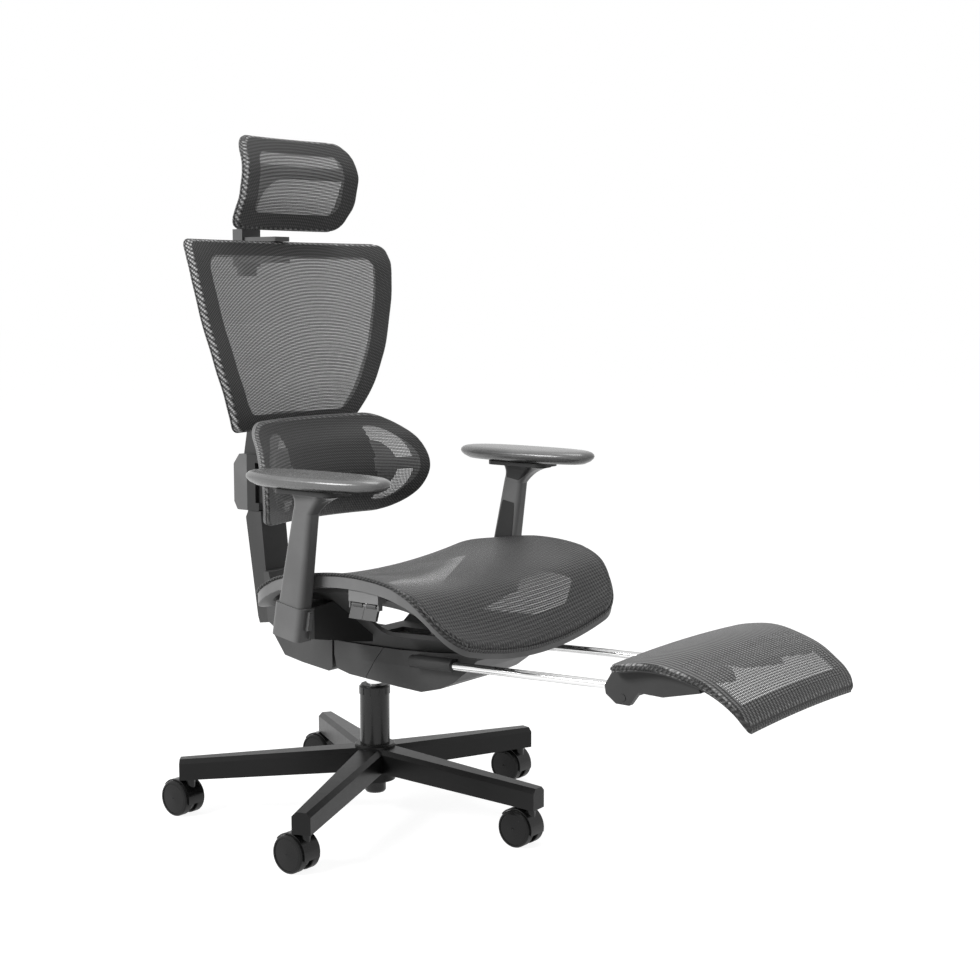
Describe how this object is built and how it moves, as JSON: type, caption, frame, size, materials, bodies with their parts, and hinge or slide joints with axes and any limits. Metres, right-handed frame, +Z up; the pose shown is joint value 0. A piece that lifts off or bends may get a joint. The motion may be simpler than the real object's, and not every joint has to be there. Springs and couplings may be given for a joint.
{
  "type": "reclining office chair with footrest",
  "caption": "Ergonomic swivel chair with mesh seat, back, lumbar pad and headrest, adjustable armrests and a sliding mesh footrest.",
  "frame": {"origin": "on the floor, on the axis of the gas lift", "axes": "+Z up; the sitter looks along -Y; +X is the sitter's left"},
  "size_m": [0.6394, 1.1037, 1.133],
  "materials": {
    "black_nylon": "satin moulded nylon",
    "castor_black": "semi-gloss",
    "lift_paint": "satin black paint",
    "dark_plastic": "satin",
    "grey_plastic": "satin",
    "chrome_steel": "polished",
    "plain_steel": "ground",
    "spring_rubber": "matt",
    "arm_pu": "soft satin",
    "mesh_fabric": "open weave"
  },
  "bodies": {
    "base": {"star_base": "black_nylon", "gas_lift_tube": "lift_paint", "gas_lift_bush": "dark_plastic"},
    "castor_1": {"castor_1_hood": "black_nylon"},
    "castor_1_roller": {"castor_1_wheels": "castor_black"},
    "castor_2": {"castor_2_hood": "black_nylon"},
    "castor_2_roller": {"castor_2_wheels": "castor_black"},
    "castor_3": {"castor_3_hood": "black_nylon"},
    "castor_3_roller": {"castor_3_wheels": "castor_black"},
    "castor_4": {"castor_4_hood": "black_nylon"},
    "castor_4_roller": {"castor_4_wheels": "castor_black"},
    "castor_5": {"castor_5_hood": "black_nylon"},
    "castor_5_roller": {"castor_5_wheels": "castor_black"},
    "gas_cylinder": {"gas_lift_rod": "chrome_steel"},
    "seat": {"mechanism_frame": "plain_steel", "mechanism_cover_rear": "dark_plastic", "mechanism_cover_front": "dark_plastic", "tilt_shaft": "plain_steel", "torsion_spring": "spring_rubber", "seat_tray": "grey_plastic", "seat_frame": "grey_plastic", "seat_mesh": "mesh_fabric", "control_block": "grey_plastic", "arm_bracket_left": "grey_plastic", "arm_bracket_right": "grey_plastic", "arm_bar_left": "plain_steel", "arm_bar_right": "plain_steel", "footrest_socket_left": "grey_plastic", "footrest_socket_right": "grey_plastic"},
    "height_paddle": {"height_paddle": "dark_plastic"},
    "recline_paddle": {"recline_paddle": "dark_plastic"},
    "arm_left": {"arm_post_left": "grey_plastic"},
    "arm_left_button": {"arm_button_left": "grey_plastic"},
    "pad_left_turntable": {"pad_plate_left": "grey_plastic"},
    "pad_left": {"arm_pad_left": "arm_pu"},
    "arm_right": {"arm_post_right": "grey_plastic"},
    "arm_right_button": {"arm_button_right": "grey_plastic"},
    "pad_right_turntable": {"pad_plate_right": "grey_plastic"},
    "pad_right": {"arm_pad_right": "arm_pu"},
    "recliner": {"back_carrier": "dark_plastic", "spine_post": "grey_plastic", "spine_screws": "plain_steel"},
    "back": {"height_block": "grey_plastic", "back_frame": "grey_plastic", "back_mesh": "mesh_fabric", "headrest_bracket": "grey_plastic", "lumbar_arm": "dark_plastic", "lumbar_pin": "plain_steel"},
    "lumbar": {"lumbar_frame": "grey_plastic", "lumbar_mesh": "mesh_fabric"},
    "head_post": {"headrest_stem": "grey_plastic", "headrest_pin": "plain_steel"},
    "headrest": {"headrest_frame": "grey_plastic", "headrest_mesh": "mesh_fabric"},
    "footrest_slider": {"footrest_rods": "chrome_steel", "footrest_shaft": "plain_steel"},
    "footrest": {"footrest_frame": "grey_plastic", "footrest_mesh": "mesh_fabric"}
  },
  "joints": [
    {"name": "castor_1_swivel", "type": "hinge", "parent": "base", "child": "castor_1", "pos_m": [-0.19635, 0.24247, 0.064], "axis": [0, 0, 1], "continuous": true},
    {"name": "castor_1_roll", "type": "hinge", "parent": "castor_1", "child": "castor_1_roller", "pos_m": [-0.19635, 0.26047, 0.03], "axis": [1, 0, 0], "continuous": true},
    {"name": "castor_2_swivel", "type": "hinge", "parent": "base", "child": "castor_2", "pos_m": [-0.29128, -0.11181, 0.064], "axis": [0, 0, 1], "continuous": true},
    {"name": "castor_2_roll", "type": "hinge", "parent": "castor_2", "child": "castor_2_roller", "pos_m": [-0.29128, -0.09381, 0.03], "axis": [1, 0, 0], "continuous": true},
    {"name": "castor_3_swivel", "type": "hinge", "parent": "base", "child": "castor_3", "pos_m": [0.01633, -0.31157, 0.064], "axis": [0, 0, 1], "continuous": true},
    {"name": "castor_3_roll", "type": "hinge", "parent": "castor_3", "child": "castor_3_roller", "pos_m": [0.01633, -0.29357, 0.03], "axis": [1, 0, 0], "continuous": true},
    {"name": "castor_4_swivel", "type": "hinge", "parent": "base", "child": "castor_4", "pos_m": [0.30137, -0.08075, 0.064], "axis": [0, 0, 1], "continuous": true},
    {"name": "castor_4_roll", "type": "hinge", "parent": "castor_4", "child": "castor_4_roller", "pos_m": [0.30137, -0.06275, 0.03], "axis": [1, 0, 0], "continuous": true},
    {"name": "castor_5_swivel", "type": "hinge", "parent": "base", "child": "castor_5", "pos_m": [0.16993, 0.26166, 0.064], "axis": [0, 0, 1], "continuous": true},
    {"name": "castor_5_roll", "type": "hinge", "parent": "castor_5", "child": "castor_5_roller", "pos_m": [0.16993, 0.27966, 0.03], "axis": [1, 0, 0], "continuous": true},
    {"name": "seat_height", "type": "slide", "parent": "base", "child": "gas_cylinder", "axis": [0, 0, 1], "range_m": [0, 0.08]},
    {"name": "seat_swivel", "type": "hinge", "parent": "gas_cylinder", "child": "seat", "pos_m": [0, 0, 0.258], "axis": [0, 0, 1], "continuous": true},
    {"name": "height_paddle_lift", "type": "hinge", "parent": "seat", "child": "height_paddle", "pos_m": [-0.241, -0.194, 0.415], "axis": [0, 1, 0], "range_deg": [0, 22], "stiffness_Nm_per_rad": 0.3, "springref_deg": -8.59},
    {"name": "recline_paddle_lift", "type": "hinge", "parent": "seat", "child": "recline_paddle", "pos_m": [-0.241, -0.194, 0.415], "axis": [0, 1, 0], "range_deg": [0, 22], "stiffness_Nm_per_rad": 0.3, "springref_deg": -8.59},
    {"name": "arm_left_height", "type": "slide", "parent": "seat", "child": "arm_left", "axis": [0, -0.1702, 0.9854], "range_m": [0, 0.07]},
    {"name": "arm_left_button_press", "type": "slide", "parent": "seat", "child": "arm_left_button", "axis": [0, 0.9854, 0.1702], "range_m": [0, 0.003], "stiffness_N_per_m": 400, "springref_m": -0.002},
    {"name": "pad_left_swivel", "type": "hinge", "parent": "arm_left", "child": "pad_left_turntable", "pos_m": [0.266, -0.113, 0.57979], "axis": [0, 0, 1], "range_deg": [-15, 15]},
    {"name": "pad_left_slide", "type": "slide", "parent": "pad_left_turntable", "child": "pad_left", "axis": [0, -1, 0], "range_m": [-0.02, 0.03]},
    {"name": "arm_right_height", "type": "slide", "parent": "seat", "child": "arm_right", "axis": [0, -0.1702, 0.9854], "range_m": [0, 0.07]},
    {"name": "arm_right_button_press", "type": "slide", "parent": "seat", "child": "arm_right_button", "axis": [0, 0.9854, 0.1702], "range_m": [0, 0.003], "stiffness_N_per_m": 400, "springref_m": -0.002},
    {"name": "pad_right_swivel", "type": "hinge", "parent": "arm_right", "child": "pad_right_turntable", "pos_m": [-0.266, -0.113, 0.57979], "axis": [0, 0, 1], "range_deg": [-15, 15]},
    {"name": "pad_right_slide", "type": "slide", "parent": "pad_right_turntable", "child": "pad_right", "axis": [0, -1, 0], "range_m": [-0.02, 0.03]},
    {"name": "recline", "type": "hinge", "parent": "seat", "child": "recliner", "pos_m": [0, -0.045, 0.288], "axis": [-1, 0, 0], "range_deg": [0, 28], "stiffness_Nm_per_rad": 45, "springref_deg": -45.84},
    {"name": "back_height", "type": "slide", "parent": "recliner", "child": "back", "axis": [0, 0, 1], "range_m": [0, 0.05]},
    {"name": "lumbar_rock", "type": "hinge", "parent": "back", "child": "lumbar", "pos_m": [0, 0.123, 0.572], "axis": [1, 0, 0], "range_deg": [-6, 6], "stiffness_Nm_per_rad": 20},
    {"name": "headrest_height", "type": "slide", "parent": "back", "child": "head_post", "axis": [0, 0, 1], "range_m": [0, 0.045]},
    {"name": "headrest_tilt", "type": "hinge", "parent": "head_post", "child": "headrest", "pos_m": [0, 0.214, 1.078], "axis": [1, 0, 0], "range_deg": [-20, 25]},
    {"name": "footrest_extend", "type": "slide", "parent": "seat", "child": "footrest_slider", "axis": [0, 0.9993, -0.0384], "range_m": [0, 0.2]},
    {"name": "footrest_tilt", "type": "hinge", "parent": "footrest_slider", "child": "footrest", "pos_m": [0, -0.6, 0.31948], "axis": [1, 0, 0], "range_deg": [-15, 75]}
  ]
}
